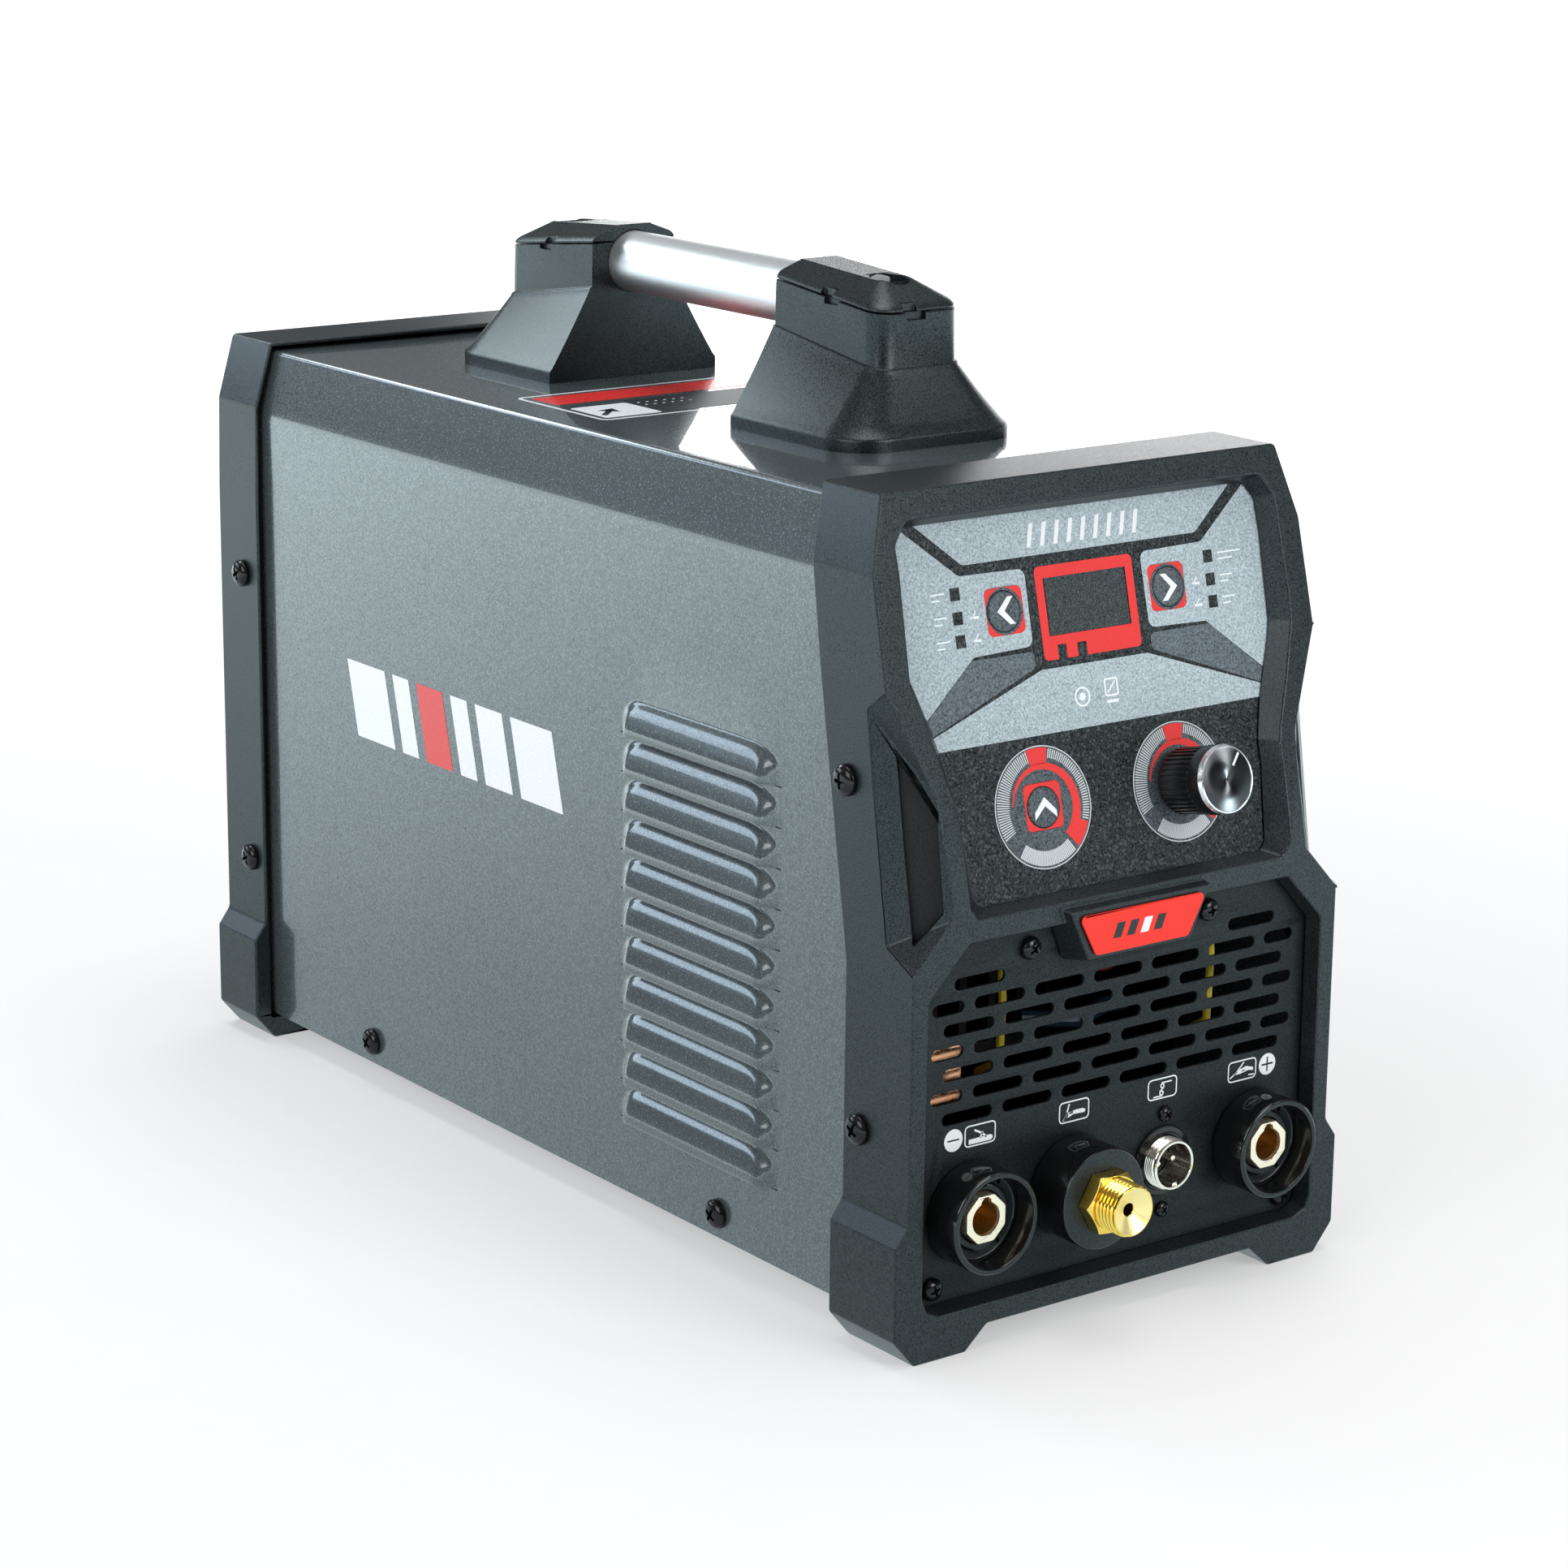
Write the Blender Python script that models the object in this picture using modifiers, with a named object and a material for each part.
"""Inverter TIG welding machine: a portable power source in a folded steel case.

Lengths are millimetres. X runs across the front panel (left is -X), Y from the front
panel to the rear panel, and Z is up. Table values of Y are counted from the front face
of the front bezel; world() moves them so that the world origin is on the floor under
the middle of the machine.
"""

import math

import bmesh
import bpy
from mathutils import Matrix, Vector

# ------------------------------------------------------------ driving dimensions
MM = 0.001
CENTRE_Y = 203.0      # table y of the world origin
GAP = 0.3             # clearance between touching pieces

BODY_LEN = 394.2      # front bezel face to rear bezel face
HALF_W = 81.4         # half width over the bezels
BLOCK_W = 86.0        # half width over the bottom corner blocks
BEZEL_TOP = 249.4
REAR_BEZEL_TOP = 249.0
REAR_BEZEL_Y = 367.4  # front edge of the rear bezel
REAR_LIP = 5.5        # thickness of the rear bezel's lip

COVER_W = 77.9        # half width of the folded cover
COVER_TOP = 246.0
COVER_TOP_W = 72.6    # half width of the cover's flat top
COVER_FOLD_Z = 225.0  # lower fold of the slanted band
COVER_BOTTOM = 8.8
COVER_REAR_Y = 383.0
SHEET = 1.0

# control panel: a plane leaning back, y = PANEL_LEAN_Y0 + PANEL_LEAN * z
PANEL_LEAN = 0.2448
PANEL_LEAN_Y0 = -26.84
RIM_LEAN = 0.239      # front surface of the upper bezel rim, in the same form
RIM_LEAN_Y0 = -32.1
DIAL_X, DIAL_Z = 26.1, 155.8
KEY_X, KEY_UP = 31.3, 57.2      # upper keys, measured on the leaning panel
PANEL_Y = 6.0         # front surface of the lower steel panel
PANEL_T = 1.2
REAR_FACE_Y = BODY_LEN - REAR_LIP - GAP      # outer surface of the rear panel
REAR_PANEL_Y = REAR_FACE_Y - PANEL_T         # its inner surface

SOCKET_X, SOCKET_Z = 55.1, 40.8
TORCH_X = -16.5
PLUG_X = 19.4

LOUVRES = 11
LOUVRE_TOP = 168.8
LOUVRE_PITCH = 12.4
LOUVRE_H = 11.3
LOUVRE_OUT = 3.7
LOUVRE_Y = (68.0, 77.0, 141.0, 150.0)        # ends of the two ramps of each hood

HANDLE_Z = 284.0
TUBE_R = 10.0
FAN_Z = 132.0

# side screw places as (y, z)
BEZEL_SCREWS = {"upper": (31.6, 167.7), "lower": (23.6, 65.9)}
COVER_SCREWS = {"front": (97.7, 16.5), "rear": (300.5, 16.5)}
REAR_HOLES = ((378.0, 167.7), (376.0, 65.5))

# ------------------------------------------------------------ scene
for old in list(bpy.data.objects):
    bpy.data.objects.remove(old, do_unlink=True)

parts = bpy.data.collections.new("tig_welding_machine")
tools = bpy.data.collections.new("cutters")
bpy.context.scene.collection.children.link(parts)
bpy.context.scene.collection.children.link(tools)
tools.hide_render = True


# ------------------------------------------------------------ materials
def finish(name, rgb, roughness, metallic=0.0):
    """One Principled material, shared by the pieces made of the same stuff."""
    material = bpy.data.materials.new(name)
    material.use_nodes = True
    shader = material.node_tree.nodes["Principled BSDF"]
    shader.inputs["Base Color"].default_value = (*rgb, 1.0)
    shader.inputs["Roughness"].default_value = roughness
    shader.inputs["Metallic"].default_value = metallic
    material.diffuse_color = (*rgb, 1.0)
    return material


CASE = finish("case_grey_paint", rgb=(0.16, 0.175, 0.185), roughness=0.3)
PANEL = finish("panel_black_paint", rgb=(0.022, 0.023, 0.024), roughness=0.55)
BEZEL = finish("bezel_charcoal_plastic", rgb=(0.035, 0.04, 0.042), roughness=0.5)
FILM = finish("overlay_film", rgb=(0.25, 0.26, 0.27), roughness=0.45)
LENS = finish("display_lens", rgb=(0.01, 0.01, 0.012), roughness=0.2)
RED = finish("badge_red", rgb=(0.75, 0.04, 0.03), roughness=0.4)
GLOSS = finish("gloss_black_plastic", rgb=(0.008, 0.008, 0.008), roughness=0.15)
BRASS = finish("brass", rgb=(0.83, 0.6, 0.22), roughness=0.25, metallic=1.0)
ALUMINIUM = finish("satin_aluminium", rgb=(0.78, 0.79, 0.8), roughness=0.35, metallic=1.0)
NICKEL = finish("nickel_plate", rgb=(0.75, 0.73, 0.7), roughness=0.15, metallic=1.0)
STEEL = finish("zinc_steel", rgb=(0.6, 0.6, 0.58), roughness=0.4, metallic=1.0)
SCREW = finish("black_zinc_screw", rgb=(0.02, 0.02, 0.02), roughness=0.2, metallic=1.0)
BOARD = finish("circuit_board_green", rgb=(0.02, 0.16, 0.07), roughness=0.5)
COPPER = finish("copper", rgb=(0.85, 0.4, 0.22), roughness=0.3, metallic=1.0)
FERRITE = finish("ferrite", rgb=(0.05, 0.05, 0.05), roughness=0.8)
TAPE = finish("winding_tape_yellow", rgb=(0.75, 0.55, 0.05), roughness=0.6)
SLEEVE = finish("capacitor_sleeve", rgb=(0.02, 0.03, 0.08), roughness=0.35)
RUBBER = finish("rubber", rgb=(0.015, 0.015, 0.015), roughness=0.7)
HOSE = finish("gas_hose_blue", rgb=(0.03, 0.08, 0.25), roughness=0.5)


# ------------------------------------------------------------ frames
def world(x, y, z):
    """Table point to world point in metres."""
    return Vector((x * MM, (y - CENTRE_Y) * MM, z * MM))


def panel_y(z):
    """Y of the leaning control panel at height z."""
    return PANEL_LEAN_Y0 + PANEL_LEAN * z


def rim_y(z):
    """Y of the upper bezel rim at height z."""
    return RIM_LEAN_Y0 + RIM_LEAN * z


def panel_frame(across=0.0, up=0.0, out=0.0):
    """Frame on the control panel, level with the dial: X across, Y up it, Z out of it."""
    lean = math.atan(PANEL_LEAN)
    up_axis = Vector((0.0, math.sin(lean), math.cos(lean)))
    out_axis = Vector((0.0, -math.cos(lean), math.sin(lean)))
    frame = Matrix(((1.0, 0.0, 0.0), up_axis, out_axis)).transposed().to_4x4()
    frame.translation = (world(across, panel_y(DIAL_Z), DIAL_Z)
                         + up_axis * (up * MM) + out_axis * (out * MM))
    return frame


def front_frame(x, y, z):
    """Frame facing the front: local X across, local Y up, local Z towards -Y."""
    return Matrix.Translation(world(x, y, z)) @ Matrix.Rotation(math.pi / 2, 4, "X")


def side_frame(x, y, z):
    """Frame facing +X: local X along +Y, local Y up, local Z towards +X."""
    turn = Matrix(((0, 0, 1, 0), (1, 0, 0, 0), (0, 1, 0, 0), (0, 0, 0, 1)))
    return Matrix.Translation(world(x, y, z)) @ turn


def top_frame(x, y, z=0.0):
    """Frame with the world's directions."""
    return Matrix.Translation(world(x, y, z))


# ------------------------------------------------------------ solids
# A piece made without a material is a cutter: it goes in the cutters collection and is
# used up by the next boolean.
def clean(mesh):
    bm = bmesh.new()
    bm.from_mesh(mesh)
    bmesh.ops.remove_doubles(bm, verts=bm.verts, dist=1e-6)
    bmesh.ops.dissolve_degenerate(bm, edges=bm.edges, dist=1e-7)
    bmesh.ops.recalc_face_normals(bm, faces=bm.faces)
    bm.to_mesh(mesh)
    bm.free()


def add(name, mesh, material):
    obj = bpy.data.objects.new(name, mesh)
    if material:
        parts.objects.link(obj)
        mesh.materials.clear()
        mesh.materials.append(material)
    else:
        tools.objects.link(obj)
        obj.hide_render = True
    return obj


def mesh_from(bm, name):
    mesh = bpy.data.meshes.new(name)
    bm.to_mesh(mesh)
    bm.free()
    return mesh


def add_solid(name, bm, material):
    mesh = mesh_from(bm, name)
    clean(mesh)
    return add(name, mesh, material)


def evaluated_mesh(obj):
    """The mesh of an object with its modifiers, or of a curve, in world space."""
    bpy.context.view_layer.update()
    graph = bpy.context.evaluated_depsgraph_get()
    mesh = bpy.data.meshes.new_from_object(obj.evaluated_get(graph))
    mesh.transform(obj.matrix_world)
    clean(mesh)
    return mesh


def mesh_of_helper(obj):
    """Evaluates a helper object, then removes it."""
    mesh = evaluated_mesh(obj)
    bpy.data.objects.remove(obj, do_unlink=True)
    return mesh


def plate(name, outlines, thick, frame, material=None):
    """Flat piece: filled outlines (the later ones are holes) from local Z 0 to thick."""
    curve = bpy.data.curves.new(name, "CURVE")
    curve.dimensions = "2D"
    curve.fill_mode = "BOTH"
    curve.extrude = thick * MM / 2
    for outline in outlines:
        spline = curve.splines.new("POLY")
        spline.points.add(len(outline) - 1)
        for i, (across, up) in enumerate(outline):
            spline.points[i].co = (across * MM, up * MM, 0, 1)
        spline.use_cyclic_u = True
    obj = bpy.data.objects.new(name + "_outline", curve)
    tools.objects.link(obj)
    obj.matrix_world = frame @ Matrix.Translation((0, 0, thick * MM / 2))
    return add(name, mesh_of_helper(obj), material)


def turned(name, profile, frame, material, steps):
    """Solid of revolution about local Z: profile is (radius, height) points."""
    bm = bmesh.new()
    verts = [bm.verts.new((radius * MM, 0, height * MM)) for radius, height in profile]
    for start, end in zip(verts, verts[1:]):
        bm.edges.new((start, end))
    if profile[0][0] > 0:           # off the axis, the profile is a closed loop
        bm.edges.new((verts[-1], verts[0]))
    obj = bpy.data.objects.new(name + "_profile", mesh_from(bm, name))
    tools.objects.link(obj)
    obj.matrix_world = frame
    spin = obj.modifiers.new("turn", "SCREW")
    spin.axis = "Z"
    spin.angle = 2 * math.pi
    spin.steps = steps
    spin.render_steps = steps
    spin.use_merge_vertices = True
    spin.merge_threshold = 1e-5
    mesh = mesh_of_helper(obj)
    made = add(name, mesh, material)
    mesh.shade_smooth()
    mesh.set_sharp_from_angle(angle=math.radians(35))
    return made


def block(name, low, high, material=None, frame=None):
    """Box between two corners, in table coordinates or in a local frame."""
    bm = bmesh.new()
    bmesh.ops.create_cube(bm, size=1.0)
    low, high = Vector(low), Vector(high)
    for v in bm.verts:
        v.co = Vector(((v.co[i] + 0.5) * (high[i] - low[i]) + low[i]) for i in range(3))
        v.co = frame @ (v.co * MM) if frame else world(*v.co)
    return add_solid(name, bm, material)


def rod(name, radius, start, end, frame, sides=16):
    """Cylindrical cutter along local Z from start to end."""
    middle = Matrix.Translation((0, 0, (start + end) / 2 * MM))
    bm = bmesh.new()
    bmesh.ops.create_cone(bm, cap_ends=True, segments=sides, radius1=radius * MM,
                          radius2=radius * MM, depth=(end - start) * MM,
                          matrix=frame @ middle)
    return add_solid(name, bm, None)


def hull(name, points):
    """Convex cutter round a few corner points in table coordinates."""
    bm = bmesh.new()
    for point in points:
        bm.verts.new(world(*point))
    result = bmesh.ops.convex_hull(bm, input=bm.verts)
    spare = {v for v in result["geom_unused"] + result["geom_interior"]
             if isinstance(v, bmesh.types.BMVert)}
    bmesh.ops.delete(bm, geom=list(spare), context="VERTS")
    return add_solid(name, bm, None)


def loft(name, rings, material=None):
    """Solid through rings of the same number of points, in table coordinates."""
    bm = bmesh.new()
    made = [[bm.verts.new(world(*point)) for point in ring] for ring in rings]
    count = len(made[0])
    for a, b in zip(made, made[1:]):
        for i in range(count):
            bm.faces.new((a[i], a[(i + 1) % count], b[(i + 1) % count], b[i]))
    bm.faces.new(made[0])
    bm.faces.new(list(reversed(made[-1])))
    return add_solid(name, bm, material)


def wire(name, points, radius, material, bevel_resolution=2):
    """Round bar along a path in table coordinates."""
    curve = bpy.data.curves.new(name, "CURVE")
    curve.dimensions = "3D"
    curve.bevel_depth = radius * MM
    curve.bevel_resolution = bevel_resolution
    curve.use_fill_caps = True
    spline = curve.splines.new("POLY")
    spline.points.add(len(points) - 1)
    for i, point in enumerate(points):
        spline.points[i].co = (*world(*point), 1)
    obj = bpy.data.objects.new(name + "_path", curve)
    tools.objects.link(obj)
    return add(name, mesh_of_helper(obj), material)


def apply_modifiers(obj):
    """Keeps the modified shape as the object's mesh, with its one material."""
    mesh = evaluated_mesh(obj)
    material = obj.data.materials[0] if obj.data.materials else None
    obj.modifiers.clear()
    mesh.materials.clear()
    if material:
        mesh.materials.append(material)
    for poly in mesh.polygons:
        poly.material_index = 0
    obj.data = mesh


def boolean(obj, others, operation):
    for other in others:
        mod = obj.modifiers.new("bool", "BOOLEAN")
        mod.operation = operation
        mod.solver = "EXACT"
        mod.object = other
    apply_modifiers(obj)
    for other in others:
        bpy.data.objects.remove(other, do_unlink=True)
    return obj


def cut(obj, *cutters):
    return boolean(obj, cutters, "DIFFERENCE")


def join(obj, *more):
    return boolean(obj, more, "UNION")


def keep_inside(obj, limit):
    return boolean(obj, [limit], "INTERSECT")


def set_origin(obj, where):
    """Puts a moving piece's origin on its joint axis without moving its mesh."""
    obj.data.transform(Matrix.Translation(-where))
    obj.matrix_world = Matrix.Translation(where)


def side_prism(name, outline, half_x):
    """Cutter across the machine with an outline given as (y, z)."""
    local = [(y - CENTRE_Y, z) for y, z in outline]
    return plate(name, [local], 2 * half_x, side_frame(-half_x, CENTRE_Y, 0))


def front_prism(name, half_outline, length, rear_y, material=None):
    """Prism along Y ending at rear_y; half_outline is the +X half as (x, z)."""
    return plate(name, [mirrored(half_outline)], length, front_frame(0, rear_y, 0), material)


def drill_sides(obj, x, depth, spots):
    """Screw holes through both sides at (y, z) spots."""
    cut(obj, *[rod("hole", 2.3, -depth, depth, side_frame(side * x, y, z), sides=8)
               for side in (-1, 1) for y, z in spots])


# ------------------------------------------------------------ outlines
def mirrored(half):
    """Closes a +X half outline with its mirror image."""
    return half + [(-x, z) for x, z in reversed(half) if abs(x) > 1e-6]


def arc_pts(radius, start, end, steps):
    angles = [start + (end - start) * i / steps for i in range(steps + 1)]
    return [(radius * math.cos(angle), radius * math.sin(angle)) for angle in angles]


def circle_pts(radius, count, x=0.0, y=0.0):
    return [(x + radius * math.cos(2 * math.pi * i / count),
             y + radius * math.sin(2 * math.pi * i / count)) for i in range(count)]


def slot_pts(x, y, length, height):
    """Slot outline with clipped corners."""
    half_h, clip, half_l = height / 2, height * 0.2, length / 2
    return [(x - half_l + clip, y - half_h), (x + half_l - clip, y - half_h),
            (x + half_l, y - clip), (x + half_l, y + clip),
            (x + half_l - clip, y + half_h), (x - half_l + clip, y + half_h),
            (x - half_l, y + clip), (x - half_l, y - clip)]


def rect_pts(x0, y0, x1, y1):
    return [(x0, y0), (x1, y0), (x1, y1), (x0, y1)]


def quarter_windows(inner_r, outer_r, inner_inset, outer_inset, steps):
    """Four arched openings; the insets are the angles left for the spokes at 45 degrees."""
    windows = []
    for quarter in range(4):
        start = math.radians(90 * quarter + 45)
        end = start + math.pi / 2
        outer = arc_pts(outer_r, start + outer_inset, end - outer_inset, steps)
        inner = arc_pts(inner_r, start + inner_inset, end - inner_inset, steps)
        windows.append(outer + inner[::-1])
    return windows


# ------------------------------------------------------------ front bezel
# Half outlines are (x, z), from the bottom middle round the +X side to the top middle.
BEZEL_FOOT = [(0, 7.1), (51.7, 7.1), (59.7, 0), (78.6, 0), (BLOCK_W, 8.8), (BLOCK_W, 37.1),
              (HALF_W + 0.2, 43.1)]
FRONT_BEZEL_HALF = BEZEL_FOOT + [(HALF_W, 196.5), (80.7, 227.4), (74.5, BEZEL_TOP),
                                 (0, BEZEL_TOP)]
POCKET_HALF = [(0, 8.5), (COVER_W + GAP, 8.5), (COVER_W + GAP, COVER_FOLD_Z + 0.1),
               (COVER_TOP_W + 0.25, COVER_TOP + GAP), (0, COVER_TOP + GAP)]
RECESS_HALF = [(0, 8.85), (77.0, 8.85), (77.0, 108), (64.5, 125), (64.5, 168), (75.0, 200),
               (75.0, 225), (70.5, 243.5), (0, 243.5)]

# openings: outline on the bezel's front surface, then on the panel behind it
UPPER_FRONT = [(0, 129.8), (59.5, 129.8), (61.5, 133.5), (62.2, 164), (66.6, 178),
               (72.6, 198), (71.6, 235), (67.0, 241.3), (0, 241.3)]
UPPER_BACK = [(0, 132.2), (53.5, 132.2), (55.5, 135), (58.0, 164), (61.5, 178),
              (68.0, 197), (68.4, 232.5), (64.5, 237.8), (0, 237.8)]
LOWER_FRONT = [(0, 123.2), (61.2, 123.6), (75.6, 108.6), (75.9, 20.0), (74.3, 15.6),
               (69.5, 13.5), (0, 13.5)]
LOWER_BACK = [(0, 122.4), (60.6, 122.6), (74.2, 108.0), (74.6, 20.8), (73.2, 16.8),
              (69.0, 15.0), (0, 15.0)]

# side outlines are (y, z)
SIDE_PROFILE = [(0, -5), (31.2, -5), (31.2, 115), (56.2, 262), (rim_y(262), 262),
                (0, -RIM_LEAN_Y0 / RIM_LEAN)]
POCKET_SIDE = [(14.2, 0), (80, 0), (80, 260), (22.2 + 0.17 * 80, 260), (22.2, 180),
               (22.2, 118), (14.2, 95)]
RECESS_SIDE = [(PANEL_Y - GAP, 0), (80, 0), (80, 260), (panel_y(260) - GAP, 260),
               (panel_y(129.3) - GAP, 129.3), (PANEL_Y - GAP, 129.3)]

# tongue at the waist that carries the badge, front ring then rear ring, (x, y, z)
TONGUE_RINGS = [
    [(-27.0, -3.2, 127.6), (27.0, -3.2, 127.6), (20.0, -3.2, 112.4), (-20.0, -3.2, 112.4)],
    [(-30.0, 5.5, 128.6), (30.0, 5.5, 128.6), (23.0, 5.5, 111.2), (-23.0, 5.5, 111.2)]]

# corners of the scoop in the +X side at the waist, (x, y, z)
SCOOP_POINTS = [
    (HALF_W, 13.6, 196.5), (HALF_W, 22.9, 189.9), (HALF_W, 18.6, 168),
    (HALF_W, 12.2, 123.5), (HALF_W, -1.0, 117.0), (67.1, 5.5, 162.6),
    (66.9, -1.2, 132.3), (66.9, -14, 132.3), (67.1, -10, 162.6),
    (HALF_W, -10, 196.5), (90, 15, 200.0), (90, 24, 190.0), (90, 12.2, 121),
    (90, -14, 110), (90, -14, 205), (HALF_W, -14, 116.6)]


def tapered_opening(name, front_half, back_half, front_y, back_y):
    """Cutter with sloping walls, run 40% past both outlines."""
    front_ring, back_ring = [], []
    for (x0, z0), (x1, z1) in zip(mirrored(front_half), mirrored(back_half)):
        front = Vector((x0, front_y(z0), z0))
        back = Vector((x1, back_y(z1), z1))
        front_ring.append(front + (front - back) * 0.4)
        back_ring.append(back + (back - front) * 0.4)
    return loft(name, [front_ring, back_ring])


front_bezel = front_prism("front_bezel", FRONT_BEZEL_HALF, 68, 62, BEZEL)
keep_inside(front_bezel, side_prism("front_profile", SIDE_PROFILE, 100))
pocket = front_prism("front_pocket", POCKET_HALF, 76, 76)
keep_inside(pocket, side_prism("front_pocket_side", POCKET_SIDE, 90))
recess = front_prism("front_recess", RECESS_HALF, 76, 76)
keep_inside(recess, side_prism("front_recess_side", RECESS_SIDE, 90))
cut(front_bezel, pocket, recess,
    tapered_opening("upper_opening", UPPER_FRONT, UPPER_BACK, rim_y, panel_y),
    tapered_opening("lower_opening", LOWER_FRONT, LOWER_BACK,
                    lambda z: 0.0, lambda z: PANEL_Y))
join(front_bezel, loft("badge_tongue", TONGUE_RINGS))
cut(front_bezel, *[hull("waist_scoop", [(side * x, y, z) for x, y, z in SCOOP_POINTS])
                   for side in (-1, 1)])
drill_sides(front_bezel, 80, 5, BEZEL_SCREWS.values())

# ------------------------------------------------------------ rear bezel
REAR_BEZEL_HALF = BEZEL_FOOT + [(HALF_W, 227.3), (74.5, REAR_BEZEL_TOP), (0, REAR_BEZEL_TOP)]
REAR_FLARE_HALF = [(0, 8.3), (79.7, 8.3), (79.7, 226), (73.6, 247.5), (0, 247.5)]
REAR_OPENING_HALF = [(0, 15), (66, 15), (74, 23), (74, 212), (67, 236), (0, 236)]

rear_bezel = front_prism("rear_bezel", REAR_BEZEL_HALF, BODY_LEN - REAR_BEZEL_Y, BODY_LEN,
                         BEZEL)
cut(rear_bezel,
    front_prism("rear_pocket", POCKET_HALF, 30, BODY_LEN - REAR_LIP),
    front_prism("rear_flare", REAR_FLARE_HALF, 10, REAR_BEZEL_Y + 5),
    front_prism("rear_opening", REAR_OPENING_HALF, 30, BODY_LEN + 5))
drill_sides(rear_bezel, 80, 5, REAR_HOLES)

# ------------------------------------------------------------ folded cover with louvres
SLIT_BELOW = 0.3      # the slit under each hood runs from this far below its
SLIT_ABOVE = 0.6      # nominal bottom to this far above it
HOOD_KNEE_DROP = 4.4  # knee of the hood below its top
HOOD_KNEE = 0.72      # share of LOUVRE_OUT reached at the knee
HOOD_BULGE = (0.0, 1.0, 1.0, 0.0)    # share of the depth at each of LOUVRE_Y


def cover_front(z):
    """Front edge of the cover: it steps back behind the bezel's side scoops."""
    step = 8.0 * min(1.0, max(0.0, (z - 95.0) / 20.0))
    return 15.0 + step + 0.17 * max(0.0, z - 180.0)


def side_bands():
    """Horizontal bands of a cover side, from the bottom up: (kind, low z, high z)."""
    bands, low = [], COVER_BOTTOM
    for i in reversed(range(LOUVRES)):
        top = LOUVRE_TOP - i * LOUVRE_PITCH
        slit_low = top - LOUVRE_H - SLIT_BELOW
        slit_high = top - LOUVRE_H + SLIT_ABOVE
        bands += [("strip", low, slit_low), ("slit", slit_low, slit_high),
                  ("hood", slit_high, top)]
        low = top
    return bands + [("strip", low, COVER_FOLD_Z)]


def cover_surface():
    """Outer surface of the cover: two louvred sides, two slanted bands and the top."""
    bm = bmesh.new()
    shared = {}

    def vert(x, y, z):
        key = (round(x, 3), round(y, 3), round(z, 3))
        if key not in shared:
            shared[key] = bm.verts.new(world(*key))
        return shared[key]

    def quad(*corners):
        bm.faces.new([vert(*corner) for corner in corners])

    def louvred_side(side):
        x = side * COVER_W
        for kind, low, high in side_bands():
            knee = high - HOOD_KNEE_DROP
            levels = [low, knee, high] if kind == "hood" else [low, high]
            for z0, z1 in zip(levels, levels[1:]):
                quad((x, cover_front(z0), z0), (x, LOUVRE_Y[0], z0),
                     (x, LOUVRE_Y[0], z1), (x, cover_front(z1), z1))
                quad((x, LOUVRE_Y[3], z0), (x, COVER_REAR_Y, z0),
                     (x, COVER_REAR_Y, z1), (x, LOUVRE_Y[3], z1))
            for k in range(3):
                y0, y1 = LOUVRE_Y[k], LOUVRE_Y[k + 1]
                if kind == "strip":
                    quad((x, y0, low), (x, y1, low), (x, y1, high), (x, y0, high))
                elif kind == "hood":
                    bulge0, bulge1 = HOOD_BULGE[k], HOOD_BULGE[k + 1]
                    for z0, depth0, z1, depth1 in ((low, 1.0, knee, HOOD_KNEE),
                                                   (knee, HOOD_KNEE, high, 0.0)):
                        out0 = depth0 * side * LOUVRE_OUT
                        out1 = depth1 * side * LOUVRE_OUT
                        quad((x + bulge0 * out0, y0, z0), (x + bulge1 * out0, y1, z0),
                             (x + bulge1 * out1, y1, z1), (x + bulge0 * out1, y0, z1))

    low_y = [cover_front(COVER_FOLD_Z), *LOUVRE_Y, COVER_REAR_Y]
    high_y = [cover_front(COVER_TOP), *LOUVRE_Y, COVER_REAR_Y]
    for side in (-1, 1):
        louvred_side(side)
        x, top_x = side * COVER_W, side * COVER_TOP_W
        for k in range(5):
            quad((x, low_y[k], COVER_FOLD_Z), (x, low_y[k + 1], COVER_FOLD_Z),
                 (top_x, high_y[k + 1], COVER_TOP), (top_x, high_y[k], COVER_TOP))
            if side > 0:
                quad((-top_x, high_y[k], COVER_TOP), (top_x, high_y[k], COVER_TOP),
                     (top_x, high_y[k + 1], COVER_TOP), (-top_x, high_y[k + 1], COVER_TOP))
    # the surface is open, so its normals are turned outwards by the top face
    bmesh.ops.recalc_face_normals(bm, faces=bm.faces)
    top = max(bm.faces, key=lambda face: face.calc_center_median().z)
    if top.normal.z < 0:
        bmesh.ops.reverse_faces(bm, faces=bm.faces)
    return mesh_from(bm, "top_cover")


top_cover = add("top_cover", cover_surface(), CASE)
sheet = top_cover.modifiers.new("sheet", "SOLIDIFY")
sheet.thickness = SHEET * MM
sheet.offset = -1.0
sheet.use_even_offset = False
apply_modifiers(top_cover)
drill_sides(top_cover, COVER_W, 4,
            [*COVER_SCREWS.values(), *BEZEL_SCREWS.values(), *REAR_HOLES])

# ------------------------------------------------------------ chassis tray
TRAY_W = COVER_W - SHEET - GAP
TRAY_T = 1.2
TRAY_BOTTOM, TRAY_TOP = 9.2, 30
TRAY_OUTLINE = [(-TRAY_W, TRAY_BOTTOM), (TRAY_W, TRAY_BOTTOM), (TRAY_W, TRAY_TOP),
                (TRAY_W - TRAY_T, TRAY_TOP), (TRAY_W - TRAY_T, TRAY_BOTTOM + TRAY_T),
                (-TRAY_W + TRAY_T, TRAY_BOTTOM + TRAY_T), (-TRAY_W + TRAY_T, TRAY_TOP),
                (-TRAY_W, TRAY_TOP)]

base_tray = plate("base_tray", [TRAY_OUTLINE], 372, front_frame(0, 381, 0), STEEL)
drill_sides(base_tray, TRAY_W - TRAY_T / 2, 4, COVER_SCREWS.values())

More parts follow.
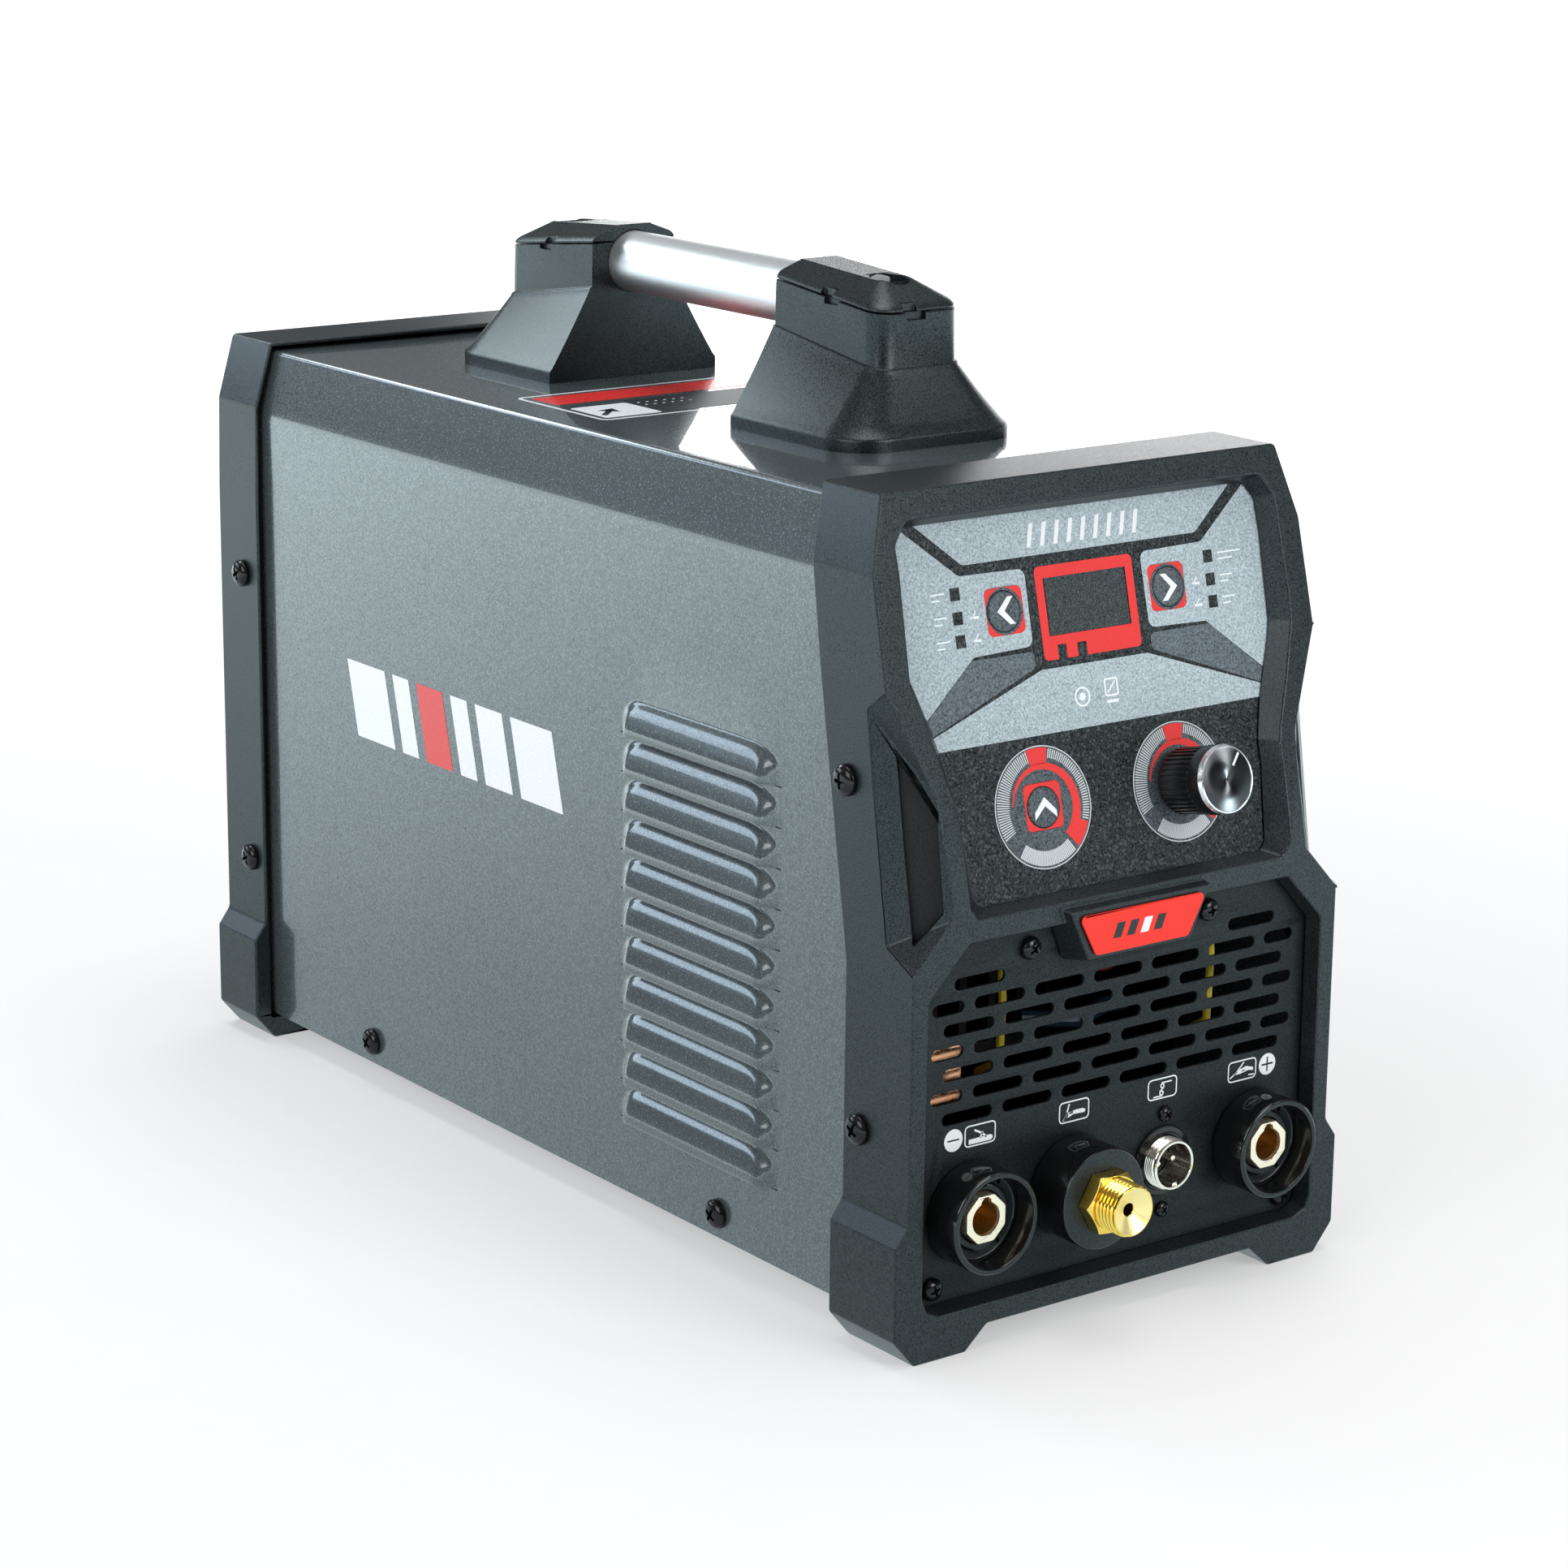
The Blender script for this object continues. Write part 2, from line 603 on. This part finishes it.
# ------------------------------------------------------------ lower front panel
SLOT_ROWS = 7
SLOT_TOP_Z = 110.0
SLOT_PITCH_X, SLOT_PITCH_Z = 22.4, 6.67
SLOT_LEN, SHORT_SLOT_LEN, SLOT_H = 18.6, 11.6, 3.7
PANEL_SCREWS = {"lower_left": (-68.2, 19.6), "lower_right": (68.2, 19.6),
                "upper_left": (-34.3, 116.5), "upper_right": (34.3, 116.5)}     # (x, z)
FRONT_PANEL_HALF = [(0, 10.7), (76.2, 10.7), (76.2, 107.6), (63.0, 125.4), (63.0, 129.0),
                    (0, 129.0)]


def vent_slots():
    """Staggered rows from the top down; the odd rows end in short slots."""
    slots = []
    for row in range(SLOT_ROWS):
        z = SLOT_TOP_Z - SLOT_PITCH_Z * row
        if row == 0:
            places = [(-52.4, SLOT_LEN), (52.4, SLOT_LEN)]
        elif row % 2:
            places = [(SLOT_PITCH_X * k, SLOT_LEN) for k in range(-2, 3)]
            places += [(-63.8, SHORT_SLOT_LEN), (63.8, SHORT_SLOT_LEN)]
        else:
            places = [(SLOT_PITCH_X * k + SLOT_PITCH_X / 2, SLOT_LEN) for k in range(-3, 3)]
        slots += [slot_pts(x, z, length, SLOT_H) for x, length in places]
    return slots


front_outlines = [mirrored(FRONT_PANEL_HALF)] + vent_slots()
front_outlines += [circle_pts(11.9, 20, x, SOCKET_Z) for x in (-SOCKET_X, TORCH_X, SOCKET_X)]
front_outlines += [circle_pts(8.3, 20, PLUG_X, SOCKET_Z)]
front_outlines += [circle_pts(1.9, 8, x, z) for x, z in PANEL_SCREWS.values()]
plate("front_panel", front_outlines, PANEL_T, front_frame(0, PANEL_Y + PANEL_T, 0), PANEL)

# ------------------------------------------------------------ control panel
# Outlines are (across, up) in the panel frame, whose origin is level with the dial.
CONTROL_OUTLINE = mirrored([(0, -25.4), (64.0, -25.4), (64.0, 12.0), (74.5, 45.4),
                            (74.5, 71.2), (70.0, 88.5), (0, 88.5)])
WINDOW = (-15.5, 47.9, 15.5, 65.3)
KEYS = {"key_left": (-KEY_X, KEY_UP), "key_right": (KEY_X, KEY_UP), "key_up": (-DIAL_X, 0.0)}
# dome, flange under it and a stem towards the board, (radius, height)
KEY_PROFILE = [(0, -7.0), (2.2, -7.0), (2.2, -2.4), (4.2, -2.4), (4.2, -0.3), (5.8, -0.3),
               (5.8, 0.35), (5.2, 0.7), (0, 0.8)]


def control_sheet(name, window, key_radius, key_sides, thick, out, material):
    """Sheet with openings for the display, the keys and the dial."""
    holes = [rect_pts(*window)]
    holes += [circle_pts(key_radius, key_sides, *place) for place in KEYS.values()]
    holes += [circle_pts(4.6, 16, DIAL_X, 0)]
    plate(name, [CONTROL_OUTLINE] + holes, thick, panel_frame(out=out), material)


control_sheet("control_overlay", WINDOW, key_radius=6.1, key_sides=16,
              thick=0.6, out=-0.6, material=FILM)
control_sheet("control_plate", (-14.0, 49.0, 14.0, 64.2), key_radius=4.6, key_sides=12,
              thick=1.2, out=-0.9 - 1.2, material=PANEL)
plate("display_window",
      [rect_pts(WINDOW[0] + GAP, WINDOW[1] + GAP, WINDOW[2] - GAP, WINDOW[3] - GAP)],
      0.6, panel_frame(out=-0.6), LENS)
block("display_module", (-13.6, 49.4, -9.0), (13.6, 63.8, -1.4), GLOSS, panel_frame())
for name, place in KEYS.items():
    frame = panel_frame(*place)
    key = turned(name, KEY_PROFILE, frame, FILM, steps=20)
    set_origin(key, frame.translation)
plate("control_board", [rect_pts(-62, -16, 62, 76), circle_pts(9.0, 12, DIAL_X, 0)],
      1.6, panel_frame(out=-12.0), BOARD)

BADGE_OUTLINE = [(-24.6, 12.6), (24.6, 12.6), (17.8, 0), (-17.8, 0)]
plate("badge", [BADGE_OUTLINE], 0.8, front_frame(0, -3.5, 113.6), RED)

# ------------------------------------------------------------ control knob and encoder
KNOB_PROFILE = [(0, 14.6), (3.3, 14.6), (3.3, 1.2), (9.9, 1.2), (10.3, 1.6), (10.3, 20.7),
                (9.6, 21.5), (0, 21.5)]
SHAFT_PROFILE = [(0, -8.0), (3.0, -8.0), (3.0, 14.3), (0, 14.3)]

dial = panel_frame(DIAL_X, 0)
knob = turned("knob", KNOB_PROFILE, dial, GLOSS, steps=32)
encoder_shaft = turned("encoder_shaft", SHAFT_PROFILE, dial, STEEL, steps=16)
encoder = block("encoder", (-7.5, -7.5, -9.9), (7.5, 7.5, -2.6), STEEL, dial)
join(encoder, rod("bushing", 4.2, -4.0, 0.7, dial, sides=20))
cut(encoder, rod("bushing_bore", 3.3, -8.3, 3.0, dial, sides=20))
set_origin(knob, dial.translation)
set_origin(encoder_shaft, dial.translation)

# ------------------------------------------------------------ front sockets
# Profiles are (radius, height) with height counted forwards from the bezel face.
SOCKET_PROFILE = [(7.6, -24), (11.5, -24), (11.5, -5.7), (15.2, -5.7), (15.5, -5.0),
                  (15.5, 6.8), (15.0, 7.4), (13.9, 7.4), (13.5, 6.9), (13.2, -0.8),
                  (7.6, -0.8)]
INSERT_PROFILE = [(0, -16), (5.0, -16), (5.0, 2.6), (7.3, 2.6), (7.3, -34), (0, -34)]
COLLAR_PROFILE = [(6.6, -20), (11.5, -20), (11.5, -5.7), (15.2, -5.7), (15.5, -5.2),
                  (15.5, 9.0), (15.0, 9.5), (6.6, 9.5)]
FITTING_PROFILE = [(1.7, -36), (4.0, -36), (4.0, -22), (6.3, -22), (6.3, 12.0), (7.9, 12.4),
                   (7.9, 21.5), (7.5, 22.5), (7.1, 22.5), (1.7, 20.2)]
HEX_ACROSS_FLATS = 17.4
PLUG_PROFILE = [(0, -9.0), (6.7, -9.0), (6.7, -0.8), (7.6, -0.8), (7.9, -1.1), (7.9, -7.5),
                (10.3, -7.5), (10.3, -9.5), (7.9, -9.5), (7.9, -22), (0, -22)]

for pole, x in (("negative", -SOCKET_X), ("positive", SOCKET_X)):
    frame = front_frame(x, 0, SOCKET_Z)
    turned("socket_" + pole, SOCKET_PROFILE, frame, GLOSS, steps=28)
    turned("insert_" + pole, INSERT_PROFILE, frame, BRASS, steps=16)

frame = front_frame(TORCH_X, 0, SOCKET_Z)
turned("torch_collar", COLLAR_PROFILE, frame, GLOSS, steps=28)
torch_fitting = turned("torch_fitting", FITTING_PROFILE, frame, BRASS, steps=24)
torch_hex = rod("hex", HEX_ACROSS_FLATS / 2 / math.cos(math.pi / 6), 9.8, 14.2,
                frame @ Matrix.Rotation(math.radians(30), 4, "Z"), sides=6)
cut(torch_hex, rod("hex_bore", 5.0, 5, 20, frame))
join(torch_fitting, torch_hex)

turned("control_socket", PLUG_PROFILE, front_frame(PLUG_X, 0, SOCKET_Z), NICKEL, steps=24)

# ------------------------------------------------------------ carrying handle
# The rear post mirrors the front one; the tables hold the front one's values.
HANDLE_MIRROR = 412.2     # front y plus rear y of any mirrored pair
POST_INNER_Y = 155.6      # flat face towards the middle of the handle
NECK_Y = 104.0            # y at which the level heights are given
TUBE_Y = 125.0            # front end of the tube
CAP_HOLE_Y = 120.0
CORNER_CUT = 0.293        # corner point's inset as a share of the corner radius
CAP_Z, CAP_SLOPE = 285.3, 0.107
# levels: half width, outer end y, corner radius, z at NECK_Y, slope of z along y
POST_LEVELS = ((33.3, 93.0, 15.0, COVER_TOP + GAP, 0.0),
               (33.3, 93.0, 15.0, COVER_TOP + 4.0, 0.0),
               (16.5, 104.0, 6.5, 268.8, 0.149),
               (16.0, 104.6, 6.5, CAP_Z - 0.3, CAP_SLOPE))
CAP_LEVELS = ((16.3, 104.2, 6.5, CAP_Z, CAP_SLOPE),
              (15.2, 105.0, 6.3, CAP_Z + 1.4, CAP_SLOPE),
              (6.8, 116.0, 3.0, 292.808, 0.066))


def handle_y(y, is_rear):
    return HANDLE_MIRROR - y if is_rear else y


def post_ring(level, is_rear):
    """Outline of a post at one level: flat inner face, clipped outer corners."""
    half_w, end_y, corner, neck_z, slope = level
    inset = CORNER_CUT * corner
    outline = [(half_w, POST_INNER_Y), (-half_w, POST_INNER_Y), (-half_w, end_y + corner),
               (-half_w + inset, end_y + inset), (-half_w + corner, end_y),
               (half_w - corner, end_y), (half_w - inset, end_y + inset),
               (half_w, end_y + corner)]
    return [(x, handle_y(y, is_rear), neck_z + (y - NECK_Y) * slope) for x, y in outline]


def tube_bore(is_rear):
    """Blind bore that opens through the post's inner face."""
    start, end = (-32.0, 5.0) if is_rear else (-5.0, 32.0)
    frame = front_frame(0, handle_y(POST_INNER_Y, is_rear), HANDLE_Z)
    return rod("tube_bore", TUBE_R + GAP, start, end, frame, sides=32)


for tag, is_rear in (("front", False), ("rear", True)):
    post = loft("handle_post_" + tag, [post_ring(level, is_rear) for level in POST_LEVELS],
                BEZEL)
    cut(post, tube_bore(is_rear))
    cap = loft("handle_cap_" + tag, [post_ring(level, is_rear) for level in CAP_LEVELS], BEZEL)
    cap_hole = rod("cap_hole", 6.2, -30, 30,
                   top_frame(0, handle_y(CAP_HOLE_Y, is_rear), 290), sides=20)
    cut(cap, tube_bore(is_rear), cap_hole)

TUBE_INNER_R = 8.4
TUBE_REAR_Y = HANDLE_MIRROR - TUBE_Y
turned("handle_tube", [(TUBE_INNER_R, -TUBE_Y), (TUBE_R, -TUBE_Y), (TUBE_R, -TUBE_REAR_Y),
                       (TUBE_INNER_R, -TUBE_REAR_Y)],
       front_frame(0, 0, HANDLE_Z), ALUMINIUM, steps=32)

# ------------------------------------------------------------ rear panel
SWITCH_X, SWITCH_Z = 46.0, 208.0
GLAND_X, GLAND_Z = -44.0, 208.0
GAS_X, GAS_Z = 52.0, 44.0
REAR_PANEL_HALF = [(0, 10.7), (76.2, 10.7), (76.2, 224), (71.5, 243.5), (0, 243.5)]
REAR_PANEL_HOLES = [circle_pts(43.0, 32, 0, FAN_Z),
                    rect_pts(SWITCH_X - 14.4, SWITCH_Z - 10.9,
                             SWITCH_X + 14.4, SWITCH_Z + 10.9),
                    circle_pts(9.3, 16, GLAND_X, GLAND_Z),
                    circle_pts(6.3, 12, GAS_X, GAS_Z)]

plate("rear_panel", [mirrored(REAR_PANEL_HALF)] + REAR_PANEL_HOLES, PANEL_T,
      front_frame(0, REAR_FACE_Y, 0), CASE)

# ------------------------------------------------------------ fan
FAN_Y = REAR_PANEL_Y - GAP         # rear face of the fan frame
HUB_Y = FAN_Y - 1.5                # rear face of the hub
BLADE_DEPTH = 9.5                  # blade middle in front of the hub's rear face
BLADES = 7
FAN_SQUARE = [(-46, -42), (-42, -46), (42, -46), (46, -42), (46, 42), (42, 46), (-42, 46),
              (-46, 42)]
HUB_PROFILE = [(0, 0), (17.5, 0), (17.5, 17), (15.5, 19), (0, 19)]
GUARD_T = 1.6
GUARD_RINGS = ((10.5, 14.5), (16.5, 20.5), (22.5, 26.5), (28.5, 32.5), (34.5, 38.5))

fan_frame = plate("fan_frame", [FAN_SQUARE, circle_pts(43.5, 32)], 25,
                  front_frame(0, FAN_Y, FAN_Z), RUBBER)
spider = [circle_pts(44.6, 32)]
spider += quarter_windows(19, 42.5, inner_inset=0.13, outer_inset=0.06, steps=8)
join(fan_frame, plate("fan_spider", spider, 2.6, front_frame(0, FAN_Y - 22.0, FAN_Z)))

fan_impeller = turned("fan_impeller", HUB_PROFILE, front_frame(0, HUB_Y, FAN_Z), GLOSS,
                      steps=28)
blades = []
for i in range(BLADES):
    frame = (front_frame(0, HUB_Y - BLADE_DEPTH, FAN_Z)
             @ Matrix.Rotation(2 * math.pi * i / BLADES, 4, "Z")
             @ Matrix.Rotation(math.radians(38), 4, "X"))
    blades.append(block("blade", (15.0, -11.0, -0.8), (41.5, 11.0, 0.8), frame=frame))
join(fan_impeller, *blades)
set_origin(fan_impeller, world(0, HUB_Y - BLADE_DEPTH, FAN_Z))

guard = [circle_pts(46.0, 40)]
for inner_r, outer_r in GUARD_RINGS:
    inset = math.radians(150 / outer_r)
    guard += quarter_windows(inner_r, outer_r, inset, inset, steps=6)
plate("fan_guard", guard, GUARD_T, front_frame(0, REAR_FACE_Y + GAP + GUARD_T, FAN_Z), STEEL)

# ------------------------------------------------------------ mains switch
# The frame's local Z points into the machine.
frame = front_frame(SWITCH_X, REAR_FACE_Y, SWITCH_Z)
switch_body = block("switch_body", (-16.5, -13, -2.3), (16.5, 13, -GAP), GLOSS, frame)
join(switch_body, block("switch_can", (-14, -10.5, -1.0), (14, 10.5, 20), frame=frame))
cut(switch_body, block("switch_well", (-11.3, -8.7, -5), (11.3, 8.7, 12), frame=frame))

# rocker: two flat pads meeting at the pivot line, tilted; outline is (z, y) about the pivot
ROCKER_TILT = math.radians(11)
ROCKER_W = 21.8
ROCKER_OUTLINE = [(-7.4, 4.2), (0.0, 2.3), (7.4, 4.2), (5.4, -4.6), (-5.4, -4.6)]
pivot = world(SWITCH_X, REAR_FACE_Y - 2.0, SWITCH_Z)
rocker_turn = Matrix(((0, 0, -1, 0), (0, 1, 0, 0), (1, 0, 0, 0), (0, 0, 0, 1)))
switch_rocker = plate("switch_rocker", [ROCKER_OUTLINE], ROCKER_W,
                      Matrix.Translation(pivot + Vector((ROCKER_W / 2 * MM, 0, 0)))
                      @ Matrix.Rotation(ROCKER_TILT, 4, "X") @ rocker_turn, GLOSS)
set_origin(switch_rocker, pivot)

# ------------------------------------------------------------ mains cable and gas inlet
# Profiles are (radius, height) with height counted inwards from the rear panel's face.
GLAND_PROFILE = [(4.6, 10), (9.0, 10), (9.0, -GAP), (13.0, -GAP), (13.0, -5.5),
                 (11.0, -7.0), (9.5, -14.0), (7.5, -16.0), (4.6, -16.0)]
INLET_PROFILE = [(2.2, 22), (4.2, 22), (4.2, 12), (6.0, 12), (6.0, -GAP), (9.0, -GAP),
                 (9.0, -6.0), (5.2, -6.0), (5.2, -9.0), (4.4, -10.0), (5.2, -13),
                 (4.4, -16), (5.2, -19), (3.8, -24), (2.2, -24)]
# (y, z) from inside the case, out through the gland and down
CABLE_PATH = [(350, GLAND_Z), (406, GLAND_Z), (412.5, GLAND_Z - 1.3), (418, GLAND_Z - 5.2),
              (421.8, GLAND_Z - 11.2), (423.1, GLAND_Z - 18), (423.1, GLAND_Z - 40)]
# lower run of the cable as (x, y, z)
CABLE_TAIL = [(GLAND_X, 420, 110), (GLAND_X, 417, 60), (GLAND_X, 416, 30)]

turned("cable_gland", GLAND_PROFILE, front_frame(GLAND_X, REAR_FACE_Y, GLAND_Z), GLOSS,
       steps=20)
wire("mains_cable", [(GLAND_X, y, z) for y, z in CABLE_PATH] + CABLE_TAIL, 4.2, RUBBER)
turned("gas_inlet", INLET_PROFILE, front_frame(GAS_X, REAR_FACE_Y, GAS_Z), BRASS, steps=16)

# ------------------------------------------------------------ gas valve and hose
VALVE_X, VALVE_Y = 45.0, 325.0
VALVE_HALF, VALVE_TOP = 12, 54
PLUNGER_R, PLUNGER_Z = 4.6, 62.0
HOSE_PATH = [(GAS_X, 366, GAS_Z), (GAS_X, 356, GAS_Z), (GAS_X - 2, 348, GAS_Z),
             (VALVE_X, 343, GAS_Z), (VALVE_X, 337.5, GAS_Z)]

valve = top_frame(VALVE_X, VALVE_Y)
solenoid_body = block("solenoid_body", (VALVE_X - VALVE_HALF, VALVE_Y - VALVE_HALF, 10.7),
                      (VALVE_X + VALVE_HALF, VALVE_Y + VALVE_HALF, VALVE_TOP), BRASS)
join(solenoid_body, rod("coil", 14, VALVE_TOP - 1, 86, valve, sides=20))
cut(solenoid_body, rod("plunger_bore", 5.0, 60, 90, valve, sides=20))
solenoid_plunger = turned("solenoid_plunger", [(0, PLUNGER_Z), (PLUNGER_R, PLUNGER_Z),
                                               (PLUNGER_R, 92.0), (0, 92.0)],
                          valve, STEEL, steps=16)
set_origin(solenoid_plunger, world(VALVE_X, VALVE_Y, PLUNGER_Z))
wire("gas_hose", HOSE_PATH, 3.6, HOSE)

# ------------------------------------------------------------ main board and heatsink
block("main_board", (-68, 62, 128), (68, 352, 129.6), BOARD)

FINS = 12
FIN_PITCH, FIN_T = 12.0, 3.0
FIN_RIGHT = 66             # +X face of the first fin
SINK_BOTTOM, SINK_FLOOR, FIN_TOP = 40, 46, 110


def heatsink_outline():
    """Base with upright fins, drawn from +X to -X, as (x, z)."""
    left = FIN_RIGHT - (FINS - 1) * FIN_PITCH - FIN_T
    outline = [(left, SINK_BOTTOM), (FIN_RIGHT, SINK_BOTTOM), (FIN_RIGHT, 44)]
    for i in range(FINS):
        x = FIN_RIGHT - i * FIN_PITCH
        outline += [(x, FIN_TOP), (x - FIN_T, FIN_TOP), (x - FIN_T, SINK_FLOOR)]
        if i < FINS - 1:
            outline += [(x - FIN_PITCH, SINK_FLOOR)]
    return outline


plate("heatsink", [heatsink_outline()], 150, front_frame(0, 262, 0), ALUMINIUM)

# ------------------------------------------------------------ transformer
WINDOW_IN, WINDOW_OUT = 8, 19        # core windows, |x|
WINDING_LOW, WINDING_HIGH = 146.3, 177.7
# (x0, y0, x1, y1) of the four legs round the core's middle
WINDING_LEGS = ((-18.7, 266, -8.3, 328), (8.3, 266, 18.7, 328),
                (-18.7, 260, 18.7, 271.5), (-18.7, 322.5, 18.7, 334))


def winding_leg(name, leg, material=None):
    x0, y0, x1, y1 = leg
    return block(name, (x0, y0, WINDING_LOW), (x1, y1, WINDING_HIGH), material)


transformer_core = block("transformer_core", (-30, 272, 134), (30, 322, 190), FERRITE)
cut(transformer_core, *[block("winding_space", (x0, 262, 146), (x1, 332, 178))
                        for x0, x1 in ((-WINDOW_OUT, -WINDOW_IN), (WINDOW_IN, WINDOW_OUT))])
transformer_winding = winding_leg("transformer_winding", WINDING_LEGS[0], TAPE)
for leg in WINDING_LEGS[1:]:
    join(transformer_winding, winding_leg("winding_leg", leg))

# ------------------------------------------------------------ choke and bus capacitor
CHOKE_X, CHOKE_Y, CHOKE_Z = -58.0, 44.0, 70.0
COIL_TURNS, COIL_STEPS = 5, 12       # turns, and points in each
COIL_R, COIL_PITCH = 12.6, 8.2
CORE_PROFILE = [(6.5, -24), (8.5, -24), (8.5, 24), (6.5, 24)]
CAPACITOR_PROFILE = [(0, 130), (17.0, 130), (17.5, 131), (17.5, 178), (16.5, 180), (0, 180)]

turned("choke_core", CORE_PROFILE, top_frame(CHOKE_X, CHOKE_Y, CHOKE_Z), FERRITE, steps=20)
coil_path = []
for i in range(COIL_TURNS * COIL_STEPS + 1):
    turn = i / COIL_STEPS
    angle = 2 * math.pi * turn
    coil_path.append((CHOKE_X + COIL_R * math.cos(angle), CHOKE_Y + COIL_R * math.sin(angle),
                      CHOKE_Z - 20 + turn * COIL_PITCH))
wire("choke_winding", coil_path, 3.2, COPPER, bevel_resolution=1)
turned("bus_capacitor", CAPACITOR_PROFILE, top_frame(30, 120), SLEEVE, steps=24)


# ------------------------------------------------------------ fasteners
def screw(name, frame, head_r, head_h, shank_r, length):
    """Domed screw: the underside of its head is at local Z 0."""
    profile = [(0, -length), (shank_r, -length), (shank_r, 0), (head_r, 0),
               (head_r, head_h * 0.35), (head_r * 0.8, head_h * 0.8),
               (head_r * 0.4, head_h), (0, head_h)]
    turned(name, profile, frame, SCREW, steps=14)


def outward_frame(side, x, y, z):
    """Side frame whose local Z points away from the machine on either side."""
    frame = side_frame(side * x, y, z)
    return frame if side > 0 else frame @ Matrix.Rotation(math.pi, 4, "Y")


for side_name, side in (("left", -1), ("right", 1)):
    for kind, spots, x in (("bezel_screw", BEZEL_SCREWS, HALF_W + GAP),
                           ("cover_screw", COVER_SCREWS, COVER_W + GAP)):
        for place, (y, z) in spots.items():
            screw(f"{kind}_{side_name}_{place}", outward_frame(side, x, y, z),
                  head_r=4.7, head_h=2.8, shank_r=1.95, length=4.4)
for place, (x, z) in PANEL_SCREWS.items():
    screw("panel_screw_" + place, front_frame(x, PANEL_Y - GAP, z),
          head_r=3.4, head_h=2.2, shank_r=1.5, length=6.0)
